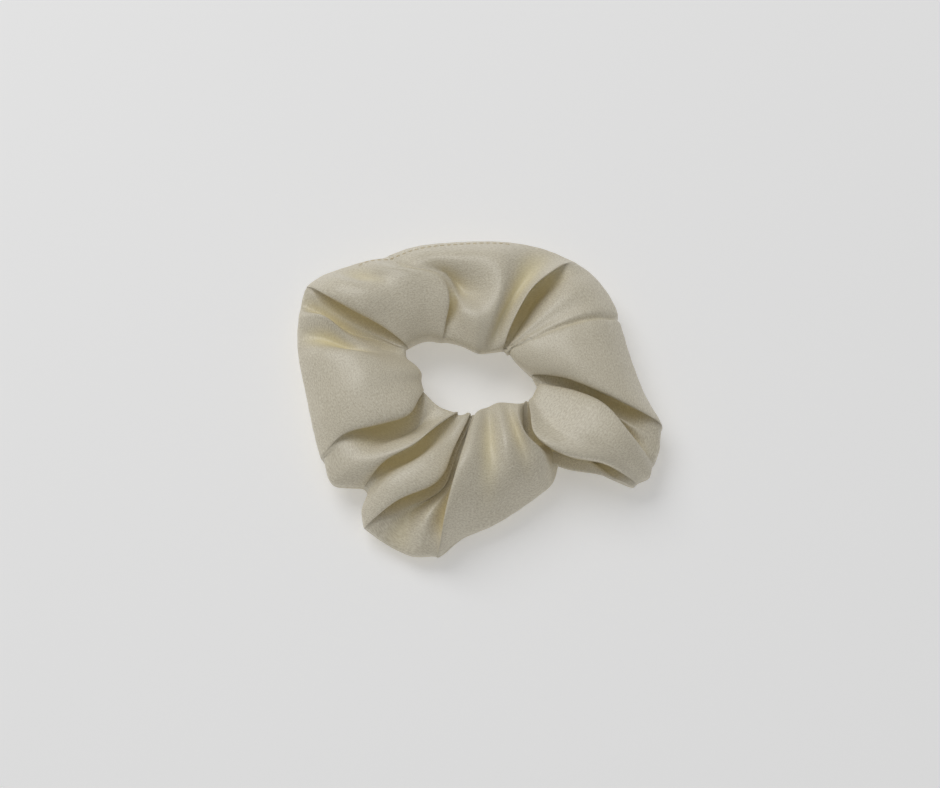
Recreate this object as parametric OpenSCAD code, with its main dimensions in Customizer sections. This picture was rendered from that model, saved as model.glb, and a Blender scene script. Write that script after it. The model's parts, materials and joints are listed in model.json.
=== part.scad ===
// Satin scrunchie: a sewn cloth sleeve, gathered on a ring of flat elastic.
// It rests on Z = 0 with its bounding box centred on the Z axis.
// Sleeve, elastic and long seam are each cut at split_x, so that the ring can be pulled open along X.

/* [Ring] */
// Overall width of the resting ring, along X
ring_w = 110; // [90:1:180]
// Overall depth of the resting ring, along Y
ring_d = 96; // [80:1:160]
// Overall height of the resting ring
ring_h = 24; // [20:1:40]
// Squareness of the outer outline, where 2 is an ellipse
squareness = 2.5; // [2:0.1:4]
// Width of the hair opening, along X
hole_w = 36; // [24:1:44]
// Depth of the hair opening, along Y
hole_d = 27; // [20:1:34]
// How far the opening sits behind the middle of the ring
hole_y = 6; // [-6:1:6]

/* [Sleeve] */
// Thickness of the satin
fabric_t = 0.4; // [0.2:0.1:0.6]
// Number of gathers round the ring
gathers = 9; // [4:1:16]
// Depth of the gathers in the top of the sleeve
gather_depth = 4; // [0:0.5:6]

/* [Elastic] */
// Width of the flat elastic, which stands upright in the sleeve
elastic_w = 6; // [3:0.5:8]
// Thickness of the elastic
elastic_t = 1; // [0.5:0.1:2]
// Least gap from the elastic to the sleeve and its seams
elastic_gap = 1; // [0.5:0.1:3]
// Length of the lap where the ends of the elastic are sewn together
lap_l = 12; // [8:1:20]
// Number of zigzag stitches through the lap
zigzags = 8; // [4:1:14]

/* [Seams] */
// Width of the raw edges inside the seams
allowance_w = 7; // [4:0.5:9]
// Gap that keeps the raw edges and their thread off the sleeve
seam_gap = 0.2; // [0.1:0.1:1]
// Place of the end seam along the right half, from 0 at its front end to 1 at its back end
end_seam_at = 0.75; // [0.1:0.01:0.8]

/* [Stitching] */
// Diameter of the sewing thread
thread_d = 0.4; // [0.2:0.05:0.5]
// Length of one stitch, with its gap
stitch_pitch = 2; // [1.5:0.1:4]
// Gap between two visible stitches
stitch_gap = 0.6; // [0.3:0.1:1]
// Distance from the rim to the visible stitches
topstitch_inset = 2.2; // [1.5:0.1:4]
// Length of rim that the visible stitches close
topstitch_l = 38; // [10:1:60]

/* [Stretch] */
// Place along X where the ring is cut into a left and a right half
split_x = 9; // [0:0.5:10]
// Gap between the two halves at rest
split_gap = 0.3; // [0.2:0.1:1]

/* [Hidden] */

LEFT = -1;
RIGHT = 1;
satin = "#e3d9bd";
elastic_colour = "#f2efe6";
thread_colour = "#d9cda8";

stations = 48;        // cross-sections along one half
section_points = 24;  // points round one cross-section
thread_sides = 4;
thread_fn = 16;
foot_flatness = 1.25; // above 1, the underside is cut flat on Z = 0
bluntness = 0.8;      // below 1, the rim and the opening's edge are blunt
end_margin = 0.005;   // share of a half that the seams stop short of the cut
near = 0.01;          // step along a half that slopes are measured over

outer_a = (ring_w - split_gap) / 2;
rest_h = ring_h - gather_depth;                               // height at the bottom of a gather
end_seam_inset = fabric_t + thread_d + seam_gap;              // sleeve's outside to the end seam's raw edges
seam_depth = end_seam_inset + 2 * fabric_t + thread_d;        // sleeve's outside to the seam's innermost thread
long_seam_inset = seam_depth + seam_gap;                      // rim to the long seam's raw edges
elastic_room = elastic_w / 2 + seam_depth + elastic_gap;      // half height that the elastic needs
lap_at = 0.5;                                                 // the lap is in the middle of the left half
zigzag_reach = 0.35;                                          // stitches' half height, as a share of the elastic
needle_hole = 0.08;                                           // share of a zigzag stitch lost in its needle holes
topstitch_start = 1;                                          // from the cut to the first visible stitch

// ---- outlines: s runs from 0 to 1 along a half, anticlockwise from above ----

function mix(a, b, s) = a + (b - a) * s;
function steps(from, to, count) = [for (i = [0 : count]) mix(from, to, i / count)];
function signed_pow(v, p) = sign(v) * pow(abs(v), p);
function superellipse(a, b, n, turn) = [a * signed_pow(cos(turn), 2 / n), b * signed_pow(sin(turn), 2 / n)];

// Turn round an outline at s, on the half whose cut is at split_x
function cut_turn(a, n) = acos(signed_pow(split_x / a, n / 2));
function turn(side, s, a, n) = let (cut = cut_turn(a, n)) side == RIGHT ? mix(-cut, cut, s) : mix(cut, 360 - cut, s);

function rim_point(side, s) =
    superellipse(outer_a, ring_d / 2, squareness, turn(side, s, outer_a, squareness)) + [side * split_gap / 2, 0];
function hole_point(side, s) =
    superellipse(hole_w / 2, hole_d / 2, 2, turn(side, s, hole_w / 2, 2)) + [side * split_gap / 2, hole_y];

// Direction out from the opening, and the sleeve's width and height
function outward(side, s) = let (d = rim_point(side, s) - hole_point(side, s)) d / norm(d);
function sleeve_w(side, s) = norm(rim_point(side, s) - hole_point(side, s));
function sleeve_h(side, s) =
    ring_h - gather_depth * (0.5 - 0.5 * cos(gathers * turn(side, s, outer_a, squareness)));

function from_hole(side, s, inset, z) = let (p = hole_point(side, s) + inset * outward(side, s)) [p[0], p[1], z];
function from_rim(side, s, inset, z) = let (p = rim_point(side, s) - inset * outward(side, s)) [p[0], p[1], z];

// Share of a half that a length takes up near s, along a path given as two points near apart
function share(length, before, after) = 2 * near * length / norm(after - before);
function rim_share(s, side, length) = share(length, rim_point(side, s - near), rim_point(side, s + near));

function sum(list) = list * [for (i = list) 1];
function rim_length(side) = sum([for (i = [1 : stations])
    norm(rim_point(side, i / stations) - rim_point(side, (i - 1) / stations))]);

// ---- cross-section of the sleeve ----

function section_point(side, s, inset, angle) =
    let (w = sleeve_w(side, s) / 2, h = sleeve_h(side, s) / 2,
         lift = sin(angle) < 0 ? max(-1, foot_flatness * sin(angle)) : sin(angle))
    from_hole(side, s, w + (w - inset) * signed_pow(cos(angle), bluntness), h + (h - inset) * lift);
function section(side, s, inset) =
    [for (j = [0 : section_points - 1]) section_point(side, s, inset, 360 * j / section_points)];

// Height above the middle at a distance in from an edge, and the distance in where there is a given half height
function rise(w, h, inset) = let (c = pow(1 - 2 * inset / w, 1 / bluntness)) h / 2 * sqrt(1 - c * c);
function inset_for(w, h, room) = w / 2 * (1 - pow(sqrt(1 - pow(min(0.95, 2 * room / h), 2)), bluntness));

// ---- swept solids ----

// A solid through rings of equal length, closed at both ends
module loft(rings) {
    n = len(rings[0]);
    last = len(rings) - 1;
    polyhedron(
        points = [for (ring = rings) each ring],
        faces = concat(
            [[for (j = [0 : n - 1]) j]],
            [for (i = [0 : last - 1], j = [0 : n - 1]) let (k = (j + 1) % n, a = i * n, b = a + n)
                each [[a + j, b + j, b + k], [a + j, b + k, a + k]]],
            [[for (j = [n - 1 : -1 : 0]) last * n + j]]));
}

// A wall between an outer and an inner skin, open at both ends
module shell(outer, inner) {
    n = len(outer[0]);
    last = len(outer) - 1;
    skin = n * (last + 1);
    polyhedron(
        points = concat([for (ring = outer) each ring], [for (ring = inner) each ring]),
        faces = concat(
            [for (i = [0 : last - 1], j = [0 : n - 1]) let (k = (j + 1) % n, a = i * n, b = a + n)
                each [[a + j, b + j, b + k], [a + j, b + k, a + k],
                      [skin + a + j, skin + b + k, skin + b + j], [skin + a + j, skin + a + k, skin + b + k]]],
            [for (j = [0 : n - 1]) let (k = (j + 1) % n, e = last * n)
                each [[j, k, skin + k], [j, skin + k, skin + j],
                      [e + j, skin + e + k, e + k], [e + j, skin + e + j, skin + e + k]]]));
}

// A ring that closes on itself, through rings of equal length
module closed_loft(rings) {
    n = len(rings[0]);
    count = len(rings);
    polyhedron(
        points = [for (ring = rings) each ring],
        faces = [for (i = [0 : count - 1], j = [0 : n - 1])
            let (k = (j + 1) % n, a = i * n, b = ((i + 1) % count) * n)
            each [[a + j, b + j, b + k], [a + j, b + k, a + k]]]);
}

// Ring of points round p, square to the thread's direction
function thread_ring(p, along, up) =
    let (side = cross(along, up), n = side / norm(side), m = cross(n, along) / norm(along))
    [for (j = [0 : thread_sides - 1])
        p + thread_d / 2 * (cos(360 * j / thread_sides) * n + sin(360 * j / thread_sides) * m)];

// A straight stitch between two points
module stitch(from, to) {
    d = to - from;
    translate(from)
        rotate([0, acos(d[2] / norm(d)), atan2(d[1], d[0])])
            cylinder(d = thread_d, h = norm(d), $fn = thread_fn);
}

// ---- sleeve ----

module cover(side)
    color(satin)
        shell([for (s = steps(0, 1, stations)) section(side, s, 0)],
              [for (s = steps(0, 1, stations)) section(side, s, fabric_t)]);

// ---- elastic ----

function elastic_point(side, s, out, z) =
    let (room = inset_for(sleeve_w(side, s), rest_h, elastic_room))
    from_hole(side, s, max(seam_depth + elastic_gap, room) + out, rest_h / 2 + z);
function elastic_share(side, s, length) =
    share(length, elastic_point(side, s - near, 0, 0), elastic_point(side, s + near, 0, 0));
lap = elastic_share(LEFT, lap_at, lap_l);

function elastic_section(side, s, layers) =
    [elastic_point(side, s, 0, -elastic_w / 2), elastic_point(side, s, layers * elastic_t, -elastic_w / 2),
     elastic_point(side, s, layers * elastic_t, elastic_w / 2), elastic_point(side, s, 0, elastic_w / 2)];

// The left half has both ends of the band, lapped
module elastic_left()
    color(elastic_colour)
        loft(concat(
            [for (s = steps(0, lap_at - lap / 2, stations / 2)) elastic_section(LEFT, s, 1)],
            [for (s = steps(lap_at - 0.49 * lap, lap_at + 0.49 * lap, stations / 4)) elastic_section(LEFT, s, 2)],
            [for (s = steps(lap_at + lap / 2, 1, stations / 2)) elastic_section(LEFT, s, 1)]));

module elastic_right()
    color(elastic_colour)
        loft([for (s = steps(0, 1, stations)) elastic_section(RIGHT, s, 1)]);

// Zigzag of thread over the lap's outer face
module elastic_join_stitches() {
    places = steps(lap_at - 0.4 * lap, lap_at + 0.4 * lap, zigzags);
    color(thread_colour)
        for (i = [0 : zigzags - 1])
            let (z = (i % 2 == 0 ? 1 : -1) * zigzag_reach * elastic_w,
                 a = elastic_point(LEFT, places[i], 2 * elastic_t, -z),
                 b = elastic_point(LEFT, places[i + 1], 2 * elastic_t, z))
            stitch(mix(a, b, needle_hole), mix(b, a, needle_hole));
}

// ---- long seam, along the rim ----

function seam_z(side, s) = sleeve_h(side, s) / 2;

// The two raw edges of satin that the long seam leaves inside
module long_seam_allowance(side)
    color(satin)
        loft([for (s = steps(end_margin, 1 - end_margin, stations))
            [from_rim(side, s, long_seam_inset + allowance_w, seam_z(side, s) - fabric_t),
             from_rim(side, s, long_seam_inset, seam_z(side, s) - fabric_t),
             from_rim(side, s, long_seam_inset, seam_z(side, s) + fabric_t),
             from_rim(side, s, long_seam_inset + allowance_w, seam_z(side, s) + fabric_t)]]);

// Thread that weaves up and down through both edges, one turn to a stitch
module long_seam_thread(side) {
    count = 2 * round(rim_length(side) / stitch_pitch);
    places = steps(2 * end_margin, 1 - 2 * end_margin, count);
    path = [for (i = [0 : count]) from_rim(side, places[i], long_seam_inset + 2 * thread_d,
                seam_z(side, places[i]) + (i % 2 == 0 ? 1 : -1) * (fabric_t + thread_d / 2))];
    color(thread_colour)
        loft([for (i = [0 : count])
            thread_ring(path[i], path[min(count, i + 1)] - path[max(0, i - 1)], [0, 0, 1])]);
}

// Straight stitches in the top of the sleeve, which close the gap that it was turned out through
module gap_topstitch() {
    first = topstitch_start * rim_share(2 * near, LEFT, 1);
    pitch = stitch_pitch * rim_share(0.15, LEFT, 1);
    count = floor(topstitch_l / stitch_pitch);
    color(thread_colour)
        for (i = [0 : count - 1])
            let (a = first + i * pitch, b = a + pitch * (1 - stitch_gap / stitch_pitch))
            stitch(topstitch_point(a), topstitch_point(b));
}
function topstitch_point(s) =
    from_rim(LEFT, s, topstitch_inset, seam_z(LEFT, s) + rise(sleeve_w(LEFT, s), sleeve_h(LEFT, s), topstitch_inset));

// ---- end seam, across the sleeve ----

// The two raw edges of satin inside the end seam, a short sleeve in the sleeve
module end_seam_allowance() {
    places = steps(end_seam_at, end_seam_at + rim_share(end_seam_at, RIGHT, allowance_w), 4);
    color(satin)
        shell([for (s = places) section(RIGHT, s, end_seam_inset)],
              [for (s = places) section(RIGHT, s, end_seam_inset + 2 * fabric_t)]);
}

// Thread that weaves in and out through both edges, all round the sleeve.
// Its outer turns are at the corners of the sleeve's cross-section, where there is room for them.
module end_seam_thread() {
    s = end_seam_at + rim_share(end_seam_at, RIGHT, 2 * thread_d);
    axis = cross(concat(outward(RIGHT, s), 0), [0, 0, 1]);
    count = 2 * section_points;
    path = [for (i = [0 : count - 1]) section_point(RIGHT, s,
                end_seam_inset + fabric_t + (i % 2 == 0 ? -1 : 1) * (fabric_t + thread_d / 2), 360 * i / count)];
    color(thread_colour)
        closed_loft([for (i = [0 : count - 1])
            thread_ring(path[i], path[(i + 1) % count] - path[(i + count - 1) % count], axis)]);
}

cover(LEFT);  // cover_left
cover(RIGHT);  // cover_right
elastic_left();
elastic_right();
elastic_join_stitches();
long_seam_allowance(LEFT);  // long_seam_allowance_left
long_seam_allowance(RIGHT);  // long_seam_allowance_right
long_seam_thread(LEFT);  // long_seam_thread_left
long_seam_thread(RIGHT);  // long_seam_thread_right
end_seam_allowance();
end_seam_thread();
gap_topstitch();
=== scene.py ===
import json
import math

import bmesh
import bpy
import numpy as np
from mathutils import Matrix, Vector


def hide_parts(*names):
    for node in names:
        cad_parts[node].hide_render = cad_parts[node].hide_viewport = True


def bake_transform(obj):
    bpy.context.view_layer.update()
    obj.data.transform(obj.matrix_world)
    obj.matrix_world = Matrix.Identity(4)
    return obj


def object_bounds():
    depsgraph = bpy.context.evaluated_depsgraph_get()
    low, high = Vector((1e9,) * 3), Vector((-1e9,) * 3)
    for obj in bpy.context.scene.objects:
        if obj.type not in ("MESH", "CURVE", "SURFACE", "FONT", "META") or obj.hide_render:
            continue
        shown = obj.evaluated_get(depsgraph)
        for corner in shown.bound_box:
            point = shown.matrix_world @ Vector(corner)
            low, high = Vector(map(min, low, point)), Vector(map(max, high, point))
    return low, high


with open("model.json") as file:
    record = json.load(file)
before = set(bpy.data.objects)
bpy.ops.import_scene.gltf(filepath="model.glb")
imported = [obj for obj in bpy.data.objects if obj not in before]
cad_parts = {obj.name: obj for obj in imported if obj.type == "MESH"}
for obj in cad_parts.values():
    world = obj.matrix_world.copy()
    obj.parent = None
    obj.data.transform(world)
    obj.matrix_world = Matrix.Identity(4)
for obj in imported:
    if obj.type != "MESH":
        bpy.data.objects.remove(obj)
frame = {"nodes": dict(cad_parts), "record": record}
cadLow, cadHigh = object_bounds()
print("frame loaded:", len(frame["nodes"]), "nodes")

mm = 0.001

# The satin strip as it was cut, and how finely its sleeve is drawn. Lengths in mm.
sleeveCut = {
    "width": 90,
    "length": 360,
    "thickness": 0.3,
    "rowStep": 1.0,
    "pointsOver": 50,
    "pointsUnder": 28,
    "finePoints": 12,
    "smoothing": 5,
    "smoothAlong": 0.5,
    "smoothAcross": 0.35,
    "seamRows": 4,
    "seamCrowding": 1.7,
    "underSmoothing": 12,
    "rimSmoothing": 2,
    "footInset": 5,
    "footRise": 0.8,
    "underGathers": 14,
    "underGatherDepth": 1.4,
}

# The sleeve lies between the edge of the hair opening and the rim.
# Lengths in mm, turns in degrees anticlockwise.
ring = {
    "openingWidth": 36,
    "openingDepth": 27,
    "squareness": 2.5,
    "openingHeight": 11.5,
    "rimHeight": 8,
    "elasticRoom": 9.5,
    "pleatFade": 0.25,
    "pleatEnd": 0.9,
}

# The folds, anticlockwise from the end seam. "hole" and "rim" are the turns at the fold's two ends,
# "into" and "out" how far it stands into the opening and past the rim. "bow" and "top" are its sideways
# bend and its height a quarter, half and three quarters of the way out. One that "laps" is a pleat,
# folded back "under" its lip by that much. It comes out again "past" the lip, at the height of its
# "floor", and it "closes" at a share of the way out. A "rimHeight" here takes the place of the ring's.
sleeveFolds = {
    "endSeam": {"hole": 42, "rim": 29, "into": 6, "out": -7, "top": (16.5, 18, 17)},
    "aboveSeam": {"hole": 44, "rim": 33, "into": 6, "out": -6, "top": (16, 18, 17.5)},
    "seamPanel": {"hole": 47, "rim": 42, "into": 5.5, "out": -4, "top": (15, 17, 16.5)},
    "seamPanelEdge": {"hole": 51, "rim": 51, "into": 5, "out": -2, "top": (15, 17, 16.5)},
    "deepFoldRib": {"hole": 53, "rim": 57, "into": 5, "out": -0.5, "top": (11, 13, 15),
                    "bow": (2, 3, 1)},
    "deepFold": {"hole": 56, "rim": 62, "into": 5, "out": 0, "top": (17, 19.5, 17.5),
                 "bow": (2.5, 3.5, 2),
                 "laps": "last", "under": 2.5, "past": 1.5, "floor": 9, "closes": 0.9},
    "backValley": {"hole": 70, "rim": 74, "into": 7, "out": 2.5, "top": (13.5, 14.5, 13.5),
                   "bow": (1.5, 1, 0)},
    "backCrest": {"hole": 84, "rim": 84, "into": 8, "out": 3, "top": (17, 19, 18.5),
                  "bow": (-1.5, -2, 0)},
    "backHollow": {"hole": 98, "rim": 94, "into": 7, "out": 3, "top": (18, 14, 18), "bow": (-2, -2, 0)},
    "backLeft": {"hole": 114, "rim": 106, "into": 4, "out": 3, "top": (16.5, 12, 16.5),
                 "bow": (-4, -7, -2)},
    "backTuck": {"hole": 129, "rim": 115, "into": 0, "out": 2, "top": (18, 17, 15.5),
                 "bow": (-8, -10, -2),
                 "laps": "last", "under": 2.5, "past": 1.2, "floor": 12.5, "closes": 0.55},
    "topLeft": {"hole": 136, "rim": 123, "into": -2.5, "out": 3, "top": (18, 20.5, 18.5),
                "bow": (-4, -6, -1)},
    "topLeftDent": {"hole": 143, "rim": 130, "into": -4, "out": 5, "top": (18, 19.5, 14.5),
                    "bow": (-2, -3, 0)},
    "topLeftCrest": {"hole": 150, "rim": 138, "into": -5, "out": 7, "top": (17, 20.5, 18.5)},
    "leftLip": {"hole": 158, "rim": 145, "into": -6, "out": 8, "top": (16, 18.5, 17), "bow": (0, 1, 1),
                "laps": "next", "under": 3, "past": 1.5, "floor": 9.5},
    "leftHollow": {"hole": 160, "rim": 150, "into": -5.5, "out": 6.5, "top": (9.5, 8.5, 9),
                   "bow": (0, 2, 1)},
    "leftRib": {"hole": 162, "rim": 155, "into": -5, "out": 5, "top": (11, 13, 17), "bow": (1, 1.5, 0)},
    "leftRibFoot": {"hole": 165, "rim": 162, "into": -4, "out": 3, "top": (13.5, 12, 11),
                    "bow": (1, 2, 0)},
    "leftBandTop": {"hole": 170, "rim": 169, "into": -1, "out": 1, "top": (15, 18, 16.5)},
    "leftBand": {"hole": 181, "rim": 180, "into": 1, "out": -2.5, "top": (17.5, 20, 17.5)},
    "leftBandLow": {"hole": 193, "rim": 191, "into": 0.5, "out": -4.5, "top": (18, 20, 17)},
    "frontTuck": {"hole": 204, "rim": 204, "into": 0, "out": -5, "top": (17.5, 18, 15.5),
                  "bow": (6, 3.5, 0),
                  "laps": "next", "under": 4, "past": 2.5, "floor": 9.5, "closes": 0.85},
    "frontPanel": {"hole": 229, "rim": 215, "into": 0, "out": -3.5, "top": (11, 13.5, 14.5),
                   "bow": (2, 1, 0)},
    "frontRib": {"hole": 250, "rim": 225, "into": 0, "out": -10, "top": (14.5, 17, 15.5),
                 "bow": (0, 1, -1),
                 "laps": "next", "under": 2.5, "past": 1.5, "floor": 9.5, "rimHeight": 7},
    "frontLobe": {"hole": 256, "rim": 230, "into": 1, "out": -4.5, "top": (13, 16.5, 16),
                  "bow": (3, 3, 1),
                  "rimHeight": 6},
    "frontLobeLip": {"hole": 260, "rim": 237, "into": 1, "out": 0, "top": (13, 16, 15.5),
                     "bow": (4, 8.5, 3.5),
                     "laps": "next", "under": 4, "past": 0.8, "floor": 7.5, "rimHeight": 5.5},
    "hollowLobe": {"hole": 262, "rim": 247, "into": 1, "out": 2, "top": (9.5, 7.5, 8), "bow": (2, 4, 1),
                   "rimHeight": 4.5},
    "hollowCrest": {"hole": 263, "rim": 256, "into": 1, "out": 3.5, "top": (9.5, 9, 13),
                    "bow": (1, 1.5, 0),
                    "rimHeight": 4.5},
    "frontLip": {"hole": 265, "rim": 261, "into": 1, "out": 2.5, "top": (18, 20.5, 17), "laps": "last",
                 "under": 2, "past": 0.8, "floor": 8, "rimHeight": 5},
    "frontLeft": {"hole": 269, "rim": 266, "into": 2, "out": -3.5, "top": (18.5, 21.5, 18),
                  "rimHeight": 4.5},
    "frontDent": {"hole": 278, "rim": 272, "into": 3, "out": -7.5, "top": (15, 17.5, 16.5),
                  "rimHeight": 4.5},
    "frontCrest": {"hole": 288, "rim": 280, "into": 3.5, "out": -12, "top": (18, 20.5, 18),
                   "rimHeight": 4.5},
    "frontDip": {"hole": 297, "rim": 287, "into": 3, "out": -15, "top": (15.5, 17.5, 16),
                 "rimHeight": 4.5},
    "rightRib": {"hole": 310, "rim": 296, "into": 0.5, "out": -18, "top": (19.5, 21.5, 18),
                 "bow": (-3, -3.5, -0.5),
                 "rimHeight": 4.5},
    "ribFoot": {"hole": 317, "rim": 303, "into": 0, "out": -22, "top": (14, 11, 9),
                "bow": (-3.5, -5.5, 0),
                "rimHeight": 4.5},
    "underLobe": {"hole": 320, "rim": 313, "into": 0, "out": -26, "top": (13, 9, 8), "bow": (-6, -6, 0),
                  "rimHeight": 4.5},
    "lobeLip": {"hole": 323, "rim": 327, "into": 0, "out": -2, "top": (17.5, 18, 16.5),
                "bow": (-10, -9, -3.5),
                "laps": "last", "under": 3, "past": 1, "floor": 7.5, "rimHeight": 6},
    "lobeLeft": {"hole": 328, "rim": 330, "into": 0, "out": -1, "top": (15, 18, 17.5),
                 "bow": (-6, -5.5, -2),
                 "rimHeight": 6.5},
    "lobe": {"hole": 334, "rim": 333, "into": 0.5, "out": 0.5, "top": (15.5, 19, 18.5),
             "bow": (-2, -3, -1),
             "rimHeight": 7},
    "lobeRightLip": {"hole": 344, "rim": 338, "into": 0.5, "out": 0, "top": (14, 17.5, 18),
                     "bow": (4, 4.5, 1),
                     "laps": "next", "under": 3.5, "past": 1.2, "floor": 8.5, "rimHeight": 7},
    "rightWedge": {"hole": 347, "rim": 345, "into": 1.5, "out": 0.5, "top": (9.5, 10, 13.5),
                   "bow": (3.5, 2, 0),
                   "rimHeight": 7},
    "rightBandLip": {"hole": 352, "rim": 351, "into": 3, "out": 0, "top": (15.5, 18, 16.5),
                     "bow": (1.5, 0.5, 0),
                     "laps": "last", "under": 3, "past": 1.5, "floor": 9},
    "rightBandLow": {"hole": 0, "rim": 359, "into": 5, "out": -5, "top": (17, 19.5, 17.5)},
    "rightBand": {"hole": 20, "rim": 12, "into": 7, "out": -8.5, "top": (17.5, 19.5, 17.5)},
    "belowSeam": {"hole": 36, "rim": 23, "into": 6.5, "out": -8, "top": (17, 19, 17.5)},
}


def ovalPoint(turn, halfWidth, halfDepth, squareness, centre):
    # a point of an outline that is an ellipse at a squareness of 2
    c, s = math.cos(math.radians(turn)), math.sin(math.radians(turn))
    x = math.copysign(abs(c) ** (2 / squareness), c) * halfWidth
    y = math.copysign(abs(s) ** (2 / squareness), s) * halfDepth
    return np.array([centre[0] + x, centre[1] + y])


def mountPlace(name):
    return next(m["pos_m"] for m in frame["record"]["mounts"] if m["name"] == name)


openingCentre = np.array(mountPlace("hair_grip")[:2]) / mm
rimCentre = np.array((cadLow + cadHigh)[:2]) / 2 / mm
rimHalf = np.array((cadHigh - cadLow)[:2]) / 2 / mm
# the places on a line, as shares of the way out, and how much of a pleat's fold each may have
lineShares = np.array([0, 0.1, 0.25, 0.5, 0.75, 0.92, 1])
holeFade = np.array([0.15, 0.8, 1, 1, 1, 1, 1])


def foldLine(fold, shift=0, endShift=0, heights=None, drop=0):
    # one line from the opening over the top to the rim. It moves sideways by shift where its pleat
    # is folded, and by endShift where the pleat has run out.
    hole = ovalPoint(fold["hole"], ring["openingWidth"] / 2, ring["openingDepth"] / 2, 2, openingCentre)
    rim = ovalPoint(fold["rim"], *rimHalf, ring["squareness"], rimCentre)
    way = (rim - hole) / np.linalg.norm(rim - hole)
    hole = hole - fold.get("into", 0) * way
    rim = rim + fold.get("out", 0) * way
    side = np.array([-way[1], way[0]])
    low, mid, high = fold.get("bow", (0, 0, 0))
    bows = np.array([0, 0.45 * low, low, mid, high, 0.4 * high, 0])
    folded = np.clip((fold.get("closes", 1) - lineShares) / ring["pleatFade"], 0, 1) * holeFade
    rimHeight = fold.get("rimHeight", ring["rimHeight"])
    near, middle, far = fold["top"]
    start = ring["openingHeight"]
    nearStart, nearRim = 0.45 * start + 0.55 * near, 0.5 * (far + rimHeight)
    z = np.array([start, nearStart, near, middle, far, nearRim, rimHeight])
    if heights:
        near, middle, far = heights
        lowered = np.array([start - drop, near, near, middle, far, min(far, rimHeight), rimHeight])
        z = z + folded * (lowered - z)
    sideways = bows + folded * shift + (1 - folded) * holeFade * endShift
    plan = hole + np.outer(lineShares, rim - hole) + np.outer(sideways, side)
    return [(x, y, h) for (x, y), h in zip(plan, z)]


def foldLines(name, fold):
    if "laps" not in fold:
        return {name: foldLine(fold)}
    back = -1 if fold["laps"] == "next" else 1
    floor = fold["floor"]
    nearHole = max(floor, ring["elasticRoom"])
    apart = ring["pleatEnd"] * back
    lines = {
        name: foldLine(fold, 0, apart),
        name + "Tuck": foldLine(fold, back * fold["under"], 0, (nearHole, floor, floor), 2),
        name + "Foot": foldLine(fold, -back * fold["past"], -apart, (nearHole + 1, floor + 1, floor + 1),
                                1.5),
    }
    return lines if fold["laps"] == "next" else dict(reversed(lines.items()))


def allLines():
    found = {}
    for name, fold in sleeveFolds.items():
        found.update(foldLines(name, fold))
    return found


def spanThrough(before, start, end, after, shares):
    # points at shares of the way from start to end, on the smooth curve through all four
    knots = [0.0]
    for a, b in ((before, start), (start, end), (end, after)):
        knots.append(knots[-1] + np.sqrt(np.linalg.norm(b - a, axis=-1, keepdims=True)) + 1e-4)
    t0, t1, t2, t3 = knots
    t = t1 + np.reshape(shares, (-1, 1, 1)) * (t2 - t1)
    a1 = ((t1 - t) * before + (t - t0) * start) / (t1 - t0)
    a2 = ((t2 - t) * start + (t - t1) * end) / (t2 - t1)
    a3 = ((t3 - t) * end + (t - t2) * after) / (t3 - t2)
    b1 = ((t2 - t) * a1 + (t - t0) * a2) / (t2 - t0)
    b2 = ((t3 - t) * a2 + (t - t1) * a3) / (t3 - t1)
    return ((t2 - t) * b1 + (t - t1) * b2) / (t2 - t1)


def alongPath(path, distances):
    steps = np.linalg.norm(np.diff(path, axis=0), axis=1)
    along = np.concatenate(([0], np.cumsum(steps)))
    return np.column_stack([np.interp(distances, along, path[:, k]) for k in range(3)])


def pathLength(path):
    return np.linalg.norm(np.diff(path, axis=0), axis=1).sum()


def towardsRim(length, count):
    # distances that crowd near the rim, for the seam and the edge stitches
    close = np.array([2.7, 2.2, 1.7, 1.2, 0.7, 0.3])
    return np.concatenate((np.linspace(0, length - 3.3, count - len(close)), length - close))


def drawRing(over, under):
    points = np.array(over + under, float)
    n = len(points)
    fine = np.linspace(0, 1, sleeveCut["finePoints"], endpoint=False)
    spans = [
        spanThrough(*(points[(k + j) % n][None] for j in (-1, 0, 1, 2)), fine)[:, 0] for k in range(n)
    ]
    rim = len(over) - 1
    top = np.vstack(spans[:rim] + [points[rim]])
    bottom = np.vstack(spans[rim:] + [points[0]])
    overLength, underLength = pathLength(top), pathLength(bottom)
    top = alongPath(top, towardsRim(overLength, sleeveCut["pointsOver"]))
    back = underLength - towardsRim(underLength, sleeveCut["pointsUnder"])[::-1]
    bottom = alongPath(bottom, np.concatenate(([0], back[:-1])))
    return np.vstack((top, bottom))


def smoothRound(values, passes):
    for _ in range(passes):
        values = (np.roll(values, 1, 0) + 2 * values + np.roll(values, -1, 0)) / 4
    return values


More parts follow.
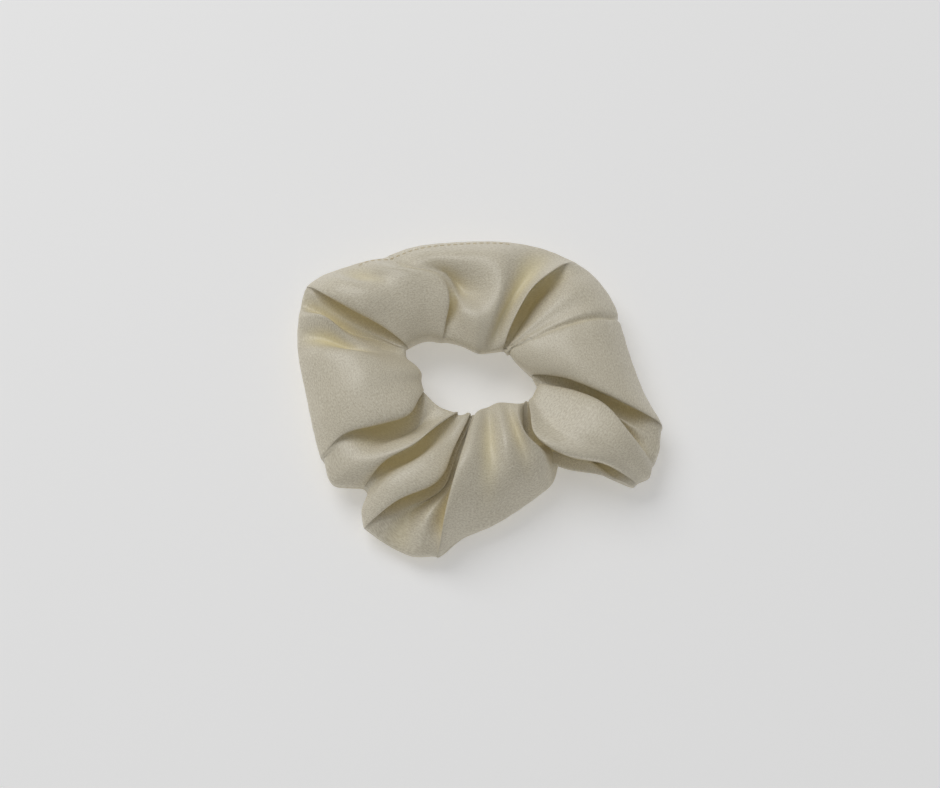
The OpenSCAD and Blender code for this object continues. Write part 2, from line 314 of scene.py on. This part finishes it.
def underside(lines):
    # where the sleeve lies on its underside, with none of the pleats of the top
    holes = np.array([line[0] for line in lines], float)
    rims = np.array([line[-1] for line in lines], float)
    centre = holes.mean(0)
    turn = np.unwrap(np.arctan2(holes[:, 1] - centre[1], holes[:, 0] - centre[0]))
    drift = turn - np.linspace(0, 2 * math.pi, len(turn), endpoint=False)
    turn = np.linspace(0, 2 * math.pi, len(turn), endpoint=False) + smoothRound(
        drift, sleeveCut["underSmoothing"]
    )
    reach = np.linalg.norm(holes[:, :2] - centre[:2], axis=1)
    reach = smoothRound(reach, sleeveCut["underSmoothing"])
    rims = smoothRound(rims, sleeveCut["rimSmoothing"])
    found = []
    for k, rim in enumerate(rims):
        hole = centre + reach[k] * np.array([math.cos(turn[k]), math.sin(turn[k]), 0])
        out = rim - hole
        out[2] = 0
        out /= np.linalg.norm(out)
        gather = 0.5 + 0.5 * math.sin(sleeveCut["underGathers"] * turn[k])
        nearRim = rim - sleeveCut["footInset"] * out
        nearHole = hole + sleeveCut["footInset"] * out
        middle = (nearRim + nearHole) / 2
        nearRim[2] = sleeveCut["footRise"]
        middle[2] = sleeveCut["footRise"] + sleeveCut["underGatherDepth"] * gather
        nearHole[2] = 1.5 * sleeveCut["footRise"] + 0.7 * sleeveCut["underGatherDepth"] * gather
        found.append([tuple(nearRim), tuple(middle), tuple(nearHole)])
    return found


def evenOut(grid, axis, strength):
    # moves each point towards the line between its neighbours, and keeps their spacing
    ahead, behind = np.roll(grid, -1, axis), np.roll(grid, 1, axis)
    near = 1 / (np.linalg.norm(ahead - grid, axis=2, keepdims=True) + 1e-3)
    far = 1 / (np.linalg.norm(behind - grid, axis=2, keepdims=True) + 1e-3)
    return grid + strength * ((ahead * near + behind * far) / (near + far) - grid)


def outwardNormals(grid):
    along = np.roll(grid, -1, 0) - np.roll(grid, 1, 0)
    across = np.roll(grid, -1, 1) - np.roll(grid, 1, 1)
    normals = np.cross(across, along)
    return normals / (np.linalg.norm(normals, axis=2, keepdims=True) + 1e-9)


# How deep the stitching pulls the satin in at a seam, and the puckers beside it. Lengths in mm.
seamLook = {
    "depth": 0.45,
    "width": 0.8,
    "puckerDepth": 0.05,
    "puckerEvery": 5.3,
    "puckerReach": 3,
    "endSeamPull": 1.5,
}


def seamPull(away, along):
    pucker = 1 + np.sin(2 * math.pi * along / seamLook["puckerEvery"])
    groove = seamLook["depth"] * np.exp(-((away / seamLook["width"]) ** 2))
    return groove + seamLook["puckerDepth"] * pucker * np.exp(-np.abs(away) / seamLook["puckerReach"])


def pressSeams(grid, seamRow):
    # the end seam runs round the sleeve, and the long seam along its rim
    normals = outwardNormals(grid)
    rim = (grid[:, sleeveCut["pointsOver"] - 1] + grid[:, sleeveCut["pointsOver"]]) / 2
    fromRim = np.linalg.norm(grid - rim[:, None], axis=2)
    alongRim = np.concatenate(([0], np.cumsum(np.linalg.norm(np.diff(rim, axis=0), axis=1))))
    fromSeam = np.linalg.norm(grid - grid[seamRow], axis=2)
    endPull = seamLook["endSeamPull"] * seamPull(fromSeam, fromRim)
    pull = seamPull(fromRim, alongRim[:, None]) + endPull
    return grid - pull[:, :, None] * normals


def drawSleeve():
    named = allLines()
    lines = list(named.values())
    rings = [drawRing(line, under) for line, under in zip(lines, underside(lines))]
    rows, lineRows = [], []
    for k, ring in enumerate(rings):
        after = rings[(k + 1) % len(rings)]
        gap = np.linalg.norm(after - ring, axis=1).max()
        count = max(3, round(gap / sleeveCut["rowStep"]))
        shares = np.arange(count) / count
        if k == 0:
            count = count + sleeveCut["seamRows"]
            shares = (np.arange(count) / count) ** sleeveCut["seamCrowding"]
        if k == len(rings) - 1:
            count = count + sleeveCut["seamRows"]
            shares = 1 - (1 - np.arange(count) / count) ** sleeveCut["seamCrowding"]
        lineRows.append(len(rows))
        span = spanThrough(rings[k - 1], ring, after, rings[(k + 2) % len(rings)], shares)
        rows.extend(span)
    grid = np.array(rows)
    for _ in range(sleeveCut["smoothing"]):
        grid = evenOut(grid, 0, sleeveCut["smoothAlong"])
        grid = evenOut(grid, 1, sleeveCut["smoothAcross"])
    found = dict(zip(named, lineRows))
    return pressSeams(grid, found["endSeam"]), found


def gridMesh(name, grid, uv):
    # a closed loop of closed rings; uv is one row and one column longer, for the two joins
    rowCount, columnCount = grid.shape[:2]
    faces, corners = [], []
    for i in range(rowCount):
        for j in range(columnCount):
            ring = [(i, j), (i, j + 1), (i + 1, j + 1), (i + 1, j)]
            faces.append([a % rowCount * columnCount + b % columnCount for a, b in ring])
            corners.extend(ring)
    mesh = bpy.data.meshes.new(name)
    mesh.from_pydata((grid.reshape(-1, 3) * mm).tolist(), [], faces)
    layer = mesh.uv_layers.new(name="cloth")
    corners = np.array(corners)
    layer.data.foreach_set("uv", uv[corners[:, 0], corners[:, 1]].ravel())
    mesh.shade_smooth()
    piece = bpy.data.objects.new(name, mesh)
    bpy.context.scene.collection.objects.link(piece)
    return piece


def measureCloth(grid):
    # distance along and across the strip, in metres, for the weave
    closedRows = np.concatenate((grid, grid[:1]))
    closed = np.concatenate((closedRows, closedRows[:, :1]), axis=1)
    across = np.linalg.norm(np.diff(closed, axis=1), axis=2)
    across = np.concatenate((np.zeros((len(closed), 1)), np.cumsum(across, axis=1)), axis=1)
    broad = slice(sleeveCut["pointsOver"] // 3, sleeveCut["pointsOver"] - 8)
    along = np.linalg.norm(np.diff(closed[:, broad], axis=0), axis=2).mean(1)
    along = np.concatenate(([0], np.cumsum(along)))
    return np.dstack((np.broadcast_to(along[:, None], across.shape), across)) * mm


# Colours are linear. The open satin is a greyed ivory. Deep in a fold a brighter yellow is painted into
# the colour, as painted bounce light between the folds. foldReach is in rows of the sleeve, foldFrom and
# foldFull in mm. The scales count the grain's cells in a metre of cloth, along it and across.
satinLook = {
    "colour": (0.90, 0.835, 0.665, 1),
    "shade": (0.66, 0.59, 0.44, 1),
    "foldBounceLightColour": (0.97, 0.84, 0.44, 1),
    "foldReach": 13,
    "foldFrom": 0.2,
    "foldFull": 2.5,
    "foldBounceLightShare": 0.65,
    "grainDepth": 0.0003,
    "grainScale": (1500, 2500, 1),
    "streakScale": (260, 1500, 1),
    "patchScale": 70,
    "streakShare": 0.15,
    "patchShare": 0.1,
    "shadeAt": 0.4,
    "colourAt": 0.61,
    "roughFrom": 0.4,
    "roughRange": 0.3,
    "fixed": {"IOR": 1.6, "Coat Weight": 0.7, "Coat Roughness": 0.35, "Coat IOR": 1.6},
}


def foldBounceLightMask(grid):
    # the mask of the painted bounce light: 0 on the open satin, 1 deep in a fold, from how far a place
    # lies below the satin beside it
    height = grid[:, :, 2]
    reach = satinLook["foldReach"]
    beside = sum(np.roll(height, k, 0) for k in range(-reach, reach + 1)) / (2 * reach + 1)
    depth = np.clip((beside - height - satinLook["foldFrom"]) / satinLook["foldFull"], 0, 1)
    for axis in (0, 1, 0, 1):
        depth = (np.roll(depth, 1, axis) + 2 * depth + np.roll(depth, -1, axis)) / 4
    return depth


grid, lineRows = drawSleeve()
cloth = measureCloth(grid)
sleeve = gridMesh("sleeve", grid, cloth)
# the mask of the painted bounce light in the folds, kept on the sleeve's points
foldBounceLightValues = sleeve.data.attributes.new("foldBounceLightMask", "FLOAT", "POINT")
foldBounceLightValues.data.foreach_set("value", foldBounceLightMask(grid).ravel())
wall = sleeve.modifiers.new("wall", "SOLIDIFY")
wall.thickness = sleeveCut["thickness"] * mm
wall.offset = -1
print("sleeve:", grid.shape, "cloth", cloth[-1, -1])


class Signal:
    # a shader value: expressions on it add nodes to its tree
    def __init__(self, tree, socket=None):
        self.tree, self.socket = tree, socket

    def node(self, kind, settings=None, sockets=None, output=0):
        made = self.tree.nodes.new(kind)
        for name, value in (settings or {}).items():
            if name == "stops":
                for k, (position, colour) in enumerate(value):
                    ramp = made.color_ramp.elements
                    stop = ramp[k] if k < 2 else ramp.new(position)
                    stop.position, stop.color = position, colour
            else:
                setattr(made, name, value)
        for name, value in (sockets or {}).items():
            if isinstance(value, Signal):
                self.tree.links.new(value.socket, made.inputs[name])
            else:
                made.inputs[name].default_value = value
        return Signal(self.tree, made.outputs[output])

    def math(self, operation, *values):
        return self.node("ShaderNodeMath", {"operation": operation}, dict(enumerate(values)))

    def __add__(self, other):
        return self.math("ADD", self, other)

    def __rsub__(self, other):
        return self.math("SUBTRACT", other, self)

    def __mul__(self, other):
        return self.math("MULTIPLY", self, other)

    def mixed(self, a, b):
        # colour a where this is 0, colour b where it is 1
        return self.node(
            "ShaderNodeMix", {"data_type": "RGBA"}, {0: self, 6: a, 7: b}, output=2
        )


def newMaterial(name, fixed):
    material = bpy.data.materials.new(name)
    material.use_nodes = True
    shader = material.node_tree.nodes["Principled BSDF"]
    for socket, value in fixed.items():
        shader.inputs[socket].default_value = value
    return material, shader, Signal(material.node_tree)


def satinMaterial():
    material, shader, tree = newMaterial("satin", satinLook["fixed"])
    place = tree.node("ShaderNodeUVMap", {"uv_map": "cloth"})
    fine = tree.node("ShaderNodeMapping", {}, {"Vector": place, "Scale": satinLook["grainScale"]})
    long = tree.node("ShaderNodeMapping", {}, {"Vector": place, "Scale": satinLook["streakScale"]})
    grain = tree.node(
        "ShaderNodeTexNoise", {}, {"Vector": fine, "Scale": 1, "Detail": 2, "Roughness": 0.7}
    )
    streak = tree.node("ShaderNodeTexNoise", {}, {"Vector": long, "Scale": 1, "Detail": 2})
    broad = tree.node(
        "ShaderNodeTexNoise", {}, {"Vector": place, "Scale": satinLook["patchScale"], "Detail": 2}
    )
    crepe = grain * (1 - satinLook["streakShare"]) + streak * satinLook["streakShare"]
    patchy = crepe * (1 - satinLook["patchShare"]) + broad * satinLook["patchShare"]
    stops = [
        (satinLook["shadeAt"], satinLook["shade"]),
        (satinLook["colourAt"], satinLook["colour"]),
    ]
    cloth = tree.node("ShaderNodeValToRGB", {"stops": stops}, {"Fac": patchy})
    # painted bounce light: the base colour turns a brighter yellow deep in the folds
    depth = tree.node("ShaderNodeAttribute", {"attribute_name": "foldBounceLightMask"}, output=2)
    colour = (depth * satinLook["foldBounceLightShare"]).mixed(cloth, satinLook["foldBounceLightColour"])
    bump = tree.node(
        "ShaderNodeBump", {}, {"Height": crepe, "Strength": 1.0, "Distance": satinLook["grainDepth"]}
    )
    rough = grain * satinLook["roughRange"] + satinLook["roughFrom"]
    tree.tree.links.new(colour.socket, shader.inputs["Base Color"])
    tree.tree.links.new(rough.socket, shader.inputs["Roughness"])
    tree.tree.links.new(bump.socket, shader.inputs["Normal"])
    return material


# The flat elastic beside the opening. It laps on the left, where its end steps outside its start.
# Lengths in mm, and "low" is its height above the floor.
elasticBand = {
    "width": 6,
    "thickness": 1,
    "inset": 8.5,
    "low": 2.7,
    "lap": 12,
    "lapStep": 1.15,
    "stepLength": 4,
    "points": 180,
    "rows": 7,
    "smoothing": 60,
}
# The raw edges of satin inside both seams, in mm, and how many rows of the sleeve lie between theirs
seamEdges = {
    "width": 7,
    "thickness": 0.6,
    "inset": 1.3,
    "height": 3.1,
    "endInset": 0.9,
    "rowsApart": 3,
    "endRowsApart": 4,
    "outerHeightShare": 0.75,
    "rimSmoothing": 4,
    "waySmoothing": 30,
}
# Lengths in mm. "every" is one stitch with its gap.
thread = {
    "thickness": 0.4,
    "every": 2,
    "stitch": 1.4,
    "seamStitch": 1.8,
    "zigzags": 8,
    "zigzagReach": 2.1,
    "lapMargin": 0.1,
}
edgeStitching = {"from": "backCrest", "to": "topLeftDent", "column": 41, "raised": 0.1}


def bandBetween(name, paths, thickness, closed=True):
    # a band of cloth or elastic, lofted through rows of points and given its thickness
    shape = bmesh.new()
    places = {}
    rows = []
    across = 0
    for k, path in enumerate(paths):
        if k:
            across += np.linalg.norm(path - paths[k - 1], axis=1).mean()
        along = np.concatenate(([0], np.cumsum(np.linalg.norm(np.diff(path, axis=0), axis=1))))
        rows.append([shape.verts.new(Vector(point) * mm) for point in path])
        for vert, distance in zip(rows[-1], along):
            places[vert] = (distance * mm, across * mm)
    for near, far in zip(rows, rows[1:]):
        count = len(near) if closed else len(near) - 1
        for k in range(count):
            after = (k + 1) % len(near)
            shape.faces.new((near[k], near[after], far[after], far[k]))
    layer = shape.loops.layers.uv.new("cloth")
    for face in shape.faces:
        face.smooth = True
        for corner in face.loops:
            corner[layer].uv = places[corner.vert]
    mesh = bpy.data.meshes.new(name)
    shape.to_mesh(mesh)
    shape.free()
    piece = bpy.data.objects.new(name, mesh)
    bpy.context.scene.collection.objects.link(piece)
    wall = piece.modifiers.new("wall", "SOLIDIFY")
    wall.thickness = thickness * mm
    wall.offset = 0
    return piece


def stitchRow(name, ends):
    # one rounded stitch of thread between each pair of points
    shape = bmesh.new()
    radius = thread["thickness"] / 2 * mm
    for start, end in ends:
        start, end = Vector(start) * mm, Vector(end) * mm
        way = end - start
        made = bmesh.ops.create_uvsphere(shape, u_segments=8, v_segments=6, radius=radius)["verts"]
        stretch = (way.length / 2) / radius
        for vert in made:
            vert.co.z *= stretch
        turn = way.to_track_quat("Z", "Y").to_matrix().to_4x4()
        bmesh.ops.transform(shape, matrix=turn, verts=made)
        bmesh.ops.translate(shape, vec=(start + end) / 2, verts=made)
    for face in shape.faces:
        face.smooth = True
    mesh = bpy.data.meshes.new(name)
    shape.to_mesh(mesh)
    shape.free()
    piece = bpy.data.objects.new(name, mesh)
    bpy.context.scene.collection.objects.link(piece)
    return piece


def stitchesAlong(path, every, stitch):
    count = int(pathLength(path) // every)
    starts = np.arange(count) * every
    return list(zip(alongPath(path, starts), alongPath(path, starts + stitch)))


def insideRim(grid, inset, height):
    # the rim's line moved in by inset, at a height or, where that is 0, a little below the rim
    some = grid[:: seamEdges["rowsApart"]]
    rim = smoothRound(some[:, sleeveCut["pointsOver"] - 1], seamEdges["rimSmoothing"])
    way = smoothRound(some[:, 0], seamEdges["waySmoothing"]) - rim
    way[:, 2] = 0
    way /= np.linalg.norm(way, axis=1, keepdims=True)
    path = rim + inset * way
    path[:, 2] = height if height else rim[:, 2] * seamEdges["outerHeightShare"]
    return path


def closedPath(path):
    return np.vstack((path, path[:1]))


def elasticPath(grid):
    # follows the edge of the opening from the lap round to the lap, where its end lies outside its start
    edge = smoothRound(grid[:, 0], elasticBand["smoothing"])
    way = smoothRound(grid[:, sleeveCut["pointsOver"] - 1], elasticBand["smoothing"]) - edge
    way[:, 2] = 0
    way /= np.linalg.norm(way, axis=1, keepdims=True)
    start = int(np.argmin(edge[:, 0]))
    path = np.roll(edge + elasticBand["inset"] * way, -start, 0)
    way = closedPath(np.roll(way, -start, 0))
    path = closedPath(path)
    along = np.concatenate(([0], np.cumsum(np.linalg.norm(np.diff(path, axis=0), axis=1))))
    reach = np.linspace(0, along[-1] + elasticBand["lap"], elasticBand["points"])
    points = [np.interp(reach % along[-1], along, path[:, k]) for k in range(3)]
    outward = [np.interp(reach % along[-1], along, way[:, k]) for k in range(3)]
    stepLength = elasticBand["stepLength"]
    step = np.clip((reach - along[-1] + stepLength) / stepLength, 0, 1) * elasticBand["lapStep"]
    outward = np.column_stack(outward)
    return np.column_stack(points) + step[:, None] * outward, outward, reach


def atHeight(path, height):
    level = path.copy()
    level[:, 2] = height
    return level


bandPath, bandOut, bandReach = elasticPath(grid)
heights = elasticBand["low"] + np.linspace(0, elasticBand["width"], elasticBand["rows"])
bandRows = [atHeight(bandPath, height) for height in heights]
elastic = bandBetween("elastic", bandRows, elasticBand["thickness"], closed=False)


def zigzagStitches():
    lapStart = bandReach[-1] - elasticBand["lap"]
    outside = elasticBand["thickness"] / 2 + thread["thickness"] / 4
    face = bandPath + outside * bandOut
    middle = elasticBand["low"] + elasticBand["width"] / 2
    shares = np.linspace(thread["lapMargin"], 1 - thread["lapMargin"], thread["zigzags"] + 1)
    distances = lapStart + elasticBand["lap"] * shares
    corners = []
    for k, distance in enumerate(distances):
        corner = [np.interp(distance, bandReach, face[:, axis]) for axis in (0, 1)]
        corners.append(corner + [middle + (1 if k % 2 else -1) * thread["zigzagReach"]])
    return list(zip(corners, corners[1:]))


elasticJoin = stitchRow("elasticJoin", zigzagStitches())

insets = seamEdges["inset"] + np.array([0, 0.4, 1]) * seamEdges["width"]
strips = [insideRim(grid, insets[0], 0)]
strips += [insideRim(grid, inset, seamEdges["height"]) for inset in insets[1:]]
longSeamEdges = bandBetween("longSeamEdges", strips, seamEdges["thickness"])
seamLine = (2 * strips[0] + strips[1]) / 3
seamLine[:, 2] += (seamEdges["thickness"] + thread["thickness"]) / 2
longSeamThread = stitchRow(
    "longSeamThread",
    stitchesAlong(closedPath(seamLine), thread["every"], thread["seamStitch"]),
)

inwardGrid = grid - seamEdges["endInset"] * outwardNormals(grid)
seamRow = lineRows["endSeam"]
endRows = [inwardGrid[seamRow - k * seamEdges["endRowsApart"]] for k in range(4)]
endSeamEdges = bandBetween("endSeamEdges", endRows, seamEdges["thickness"])
threadInset = seamEdges["endInset"] + seamEdges["thickness"] / 2 + thread["thickness"] / 2
deeper = grid - threadInset * outwardNormals(grid)
endSeamThread = stitchRow(
    "endSeamThread",
    stitchesAlong(closedPath(deeper[seamRow - 1]), thread["every"], thread["seamStitch"]),
)


def edgeLine(grid):
    # the rows of the sleeve where the gap was closed, along the back of the rim
    rows = slice(lineRows[edgeStitching["from"]], lineRows[edgeStitching["to"]])
    raised = grid + edgeStitching["raised"] * thread["thickness"] * outwardNormals(grid)
    return raised[rows, edgeStitching["column"]]


edgeStitches = stitchRow(
    "edgeStitches", stitchesAlong(edgeLine(grid), thread["every"], thread["stitch"])
)
print("inside the sleeve: elastic, its join, both seams' edges and threads; edge stitches outside")

# The darker gap colour is painted shade in the hollows between the braid's cells, where its bump is
# lowest.
elasticLook = {
    "colour": (0.86, 0.84, 0.78, 1),
    "gap": (0.55, 0.53, 0.48, 1),
    "braid": (900, 1400, 1),
    "depth": 0.0002,
}
threadLook = {"colour": (0.90, 0.80, 0.58, 1), "shade": (0.66, 0.56, 0.36, 1), "twist": 2600}


def elasticMaterial():
    material, shader, tree = newMaterial("elastic", {"Roughness": 0.75})
    place = tree.node("ShaderNodeUVMap", {"uv_map": "cloth"})
    braid = tree.node("ShaderNodeMapping", {}, {"Vector": place, "Scale": elasticLook["braid"]})
    weave = tree.node("ShaderNodeTexVoronoi", {}, {"Vector": braid, "Scale": 1})
    # painted shade: darker towards the edges of the braid's cells, where the bump is lowest
    colour = weave.mixed(elasticLook["colour"], elasticLook["gap"])
    bump = tree.node(
        "ShaderNodeBump", {}, {"Height": 1 - weave, "Strength": 1.0, "Distance": elasticLook["depth"]}
    )
    tree.tree.links.new(colour.socket, shader.inputs["Base Color"])
    tree.tree.links.new(bump.socket, shader.inputs["Normal"])
    return material


def threadMaterial():
    material, shader, tree = newMaterial("thread", {"Roughness": 0.5})
    place = tree.node("ShaderNodeTexCoord", {}, output=3)
    twist = tree.node(
        "ShaderNodeTexNoise", {}, {"Vector": place, "Scale": threadLook["twist"], "Detail": 1}
    )
    colour = twist.mixed(threadLook["shade"], threadLook["colour"])
    tree.tree.links.new(colour.socket, shader.inputs["Base Color"])
    return material


satin, elasticCloth, sewingThread = satinMaterial(), elasticMaterial(), threadMaterial()
assembly = [
    (sleeve, satin, "satin", ["cover_left", "cover_right"]),
    (elastic, elasticCloth, "elastic", ["elastic_left", "elastic_right"]),
    (elasticJoin, sewingThread, "thread", ["elastic_join_stitches"]),
    (longSeamEdges, satin, "satin", ["long_seam_allowance_left", "long_seam_allowance_right"]),
    (longSeamThread, sewingThread, "thread", ["long_seam_thread_left", "long_seam_thread_right"]),
    (endSeamEdges, satin, "satin", ["end_seam_allowance"]),
    (endSeamThread, sewingThread, "thread", ["end_seam_thread"]),
    (edgeStitches, sewingThread, "thread", ["gap_topstitch"]),
]
for piece, material, slotName, nodes in assembly:
    piece.data.materials.append(material)
    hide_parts(*nodes)
    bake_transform(piece)

# Pale floor, soft light and camera. The view's width, its lens and the place it looks at are in mm,
# the floor's and the key light's sizes and place in metres, the elevation in degrees.
studio = {
    "lens": 85,
    "viewWidth": 282,
    "elevation": 68,
    "lookAt": (-3, 0.6, 8),
    "floorSize": 4,
    "floor": {"Roughness": 0.9, "Emission Color": (1, 1, 1, 1), "Emission Strength": 0.22},
    "floorLow": (0.88, 0.88, 0.88, 1),
    "floorHigh": (0.91, 0.91, 0.91, 1),
    "keyPlace": (-0.7, 0.9, 1.3),
    "keySize": 1.3,
    "keyPower": 9.8,
    "skyPower": 0.335,
}


def flatLight(name, place, size, power):
    lamp = bpy.data.lights.new(name, "AREA")
    lamp.shape, lamp.size, lamp.energy = "DISK", size, power
    light = bpy.data.objects.new(name, lamp)
    light.location = place
    way = Vector(studio["lookAt"]) * mm - Vector(place)
    light.rotation_euler = way.to_track_quat("-Z", "Y").to_euler()
    bpy.context.scene.collection.objects.link(light)


def makeStudio():
    bpy.ops.mesh.primitive_plane_add(size=studio["floorSize"])
    floor = bpy.context.object
    floor.name = "floor"
    material, shader, tree = newMaterial("paleFloor", studio["floor"])
    patch = tree.node("ShaderNodeTexCoord", {}, output=3)
    mottle = tree.node("ShaderNodeTexNoise", {}, {"Vector": patch, "Scale": 3, "Detail": 2})
    paper = mottle.mixed(studio["floorLow"], studio["floorHigh"])
    tree.tree.links.new(paper.socket, shader.inputs["Base Color"])
    floor.data.materials.append(material)
    flatLight("key", studio["keyPlace"], studio["keySize"], studio["keyPower"])
    world = bpy.data.worlds.new("studio")
    world.use_nodes = True
    world.node_tree.nodes["Background"].inputs["Color"].default_value = (1, 1, 1, 1)
    world.node_tree.nodes["Background"].inputs["Strength"].default_value = studio["skyPower"]
    bpy.context.scene.world = world
    lens = bpy.data.cameras.new("camera")
    lens.lens = studio["lens"]
    camera = bpy.data.objects.new("camera", lens)
    rise = math.radians(studio["elevation"])
    away = studio["viewWidth"] * mm * lens.lens / lens.sensor_width
    back = Vector((0, -math.cos(rise), math.sin(rise)))
    camera.location = Vector(studio["lookAt"]) * mm + away * back
    camera.rotation_euler = back.to_track_quat("Z", "Y").to_euler()
    bpy.context.scene.collection.objects.link(camera)
    bpy.context.scene.camera = camera
    bpy.context.scene.view_settings.view_transform = "Standard"


makeStudio()
